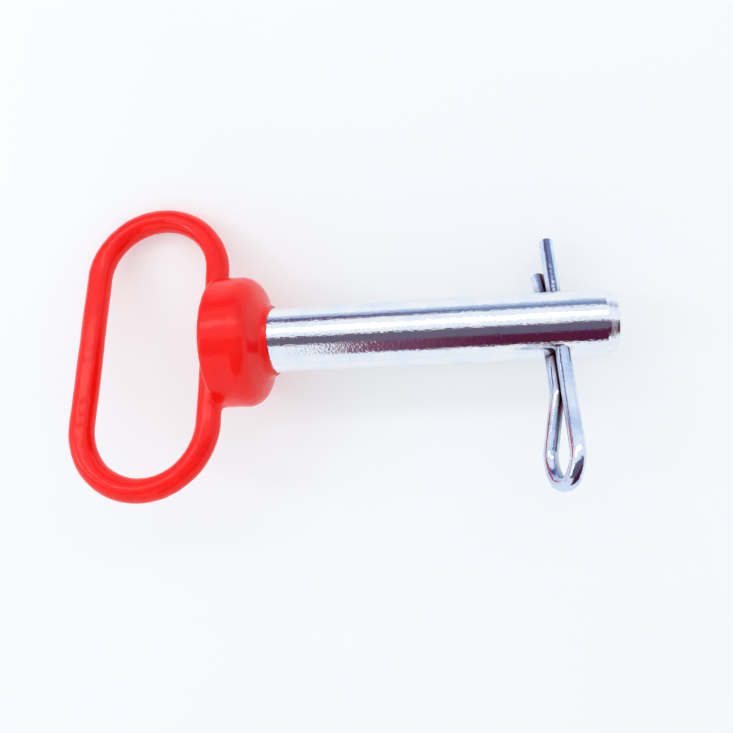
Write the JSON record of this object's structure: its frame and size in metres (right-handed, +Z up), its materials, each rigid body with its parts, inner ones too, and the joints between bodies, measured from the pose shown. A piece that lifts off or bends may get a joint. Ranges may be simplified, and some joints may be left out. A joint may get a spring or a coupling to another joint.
{
  "type": "hitch pin lock",
  "caption": "Headed steel hitch pin with a vinyl coated loop handle and a spring clip through a cross hole near its tip.",
  "frame": {"origin": "on the pin's axis, where the bare shank leaves the vinyl coat, so where the outer plate of a drawbar or clevis seats", "axes": "+X along the pin towards its tip, +Z up with the pin lying on a table, +Y towards the end of the loop handle that touches the table"},
  "size_m": [0.2083, 0.1148, 0.058],
  "materials": {
    "zinc_steel": "bright zinc plated, fine grain, mirror-like with faint turning and draw marks",
    "zinc_wire": "bright zinc plated drawn spring wire",
    "bare_steel": "dull rolled rod under the coat",
    "weld_metal": "as welded, under the coat",
    "red_vinyl": "smooth glossy dipped vinyl with soft edges"
  },
  "bodies": {
    "pin": {"pin_body": "zinc_steel", "handle_rod": "bare_steel", "rod_butt_weld": "weld_metal", "handle_side_welds": "weld_metal", "vinyl_coat": "red_vinyl"},
    "clip": {"lock_clip": "zinc_wire"}
  },
  "joints": [
    {"name": "clip_slide", "type": "slide", "parent": "pin", "child": "clip", "axis": [0, -0.8526, 0.5225], "range_m": [0, 0.075]}
  ]
}
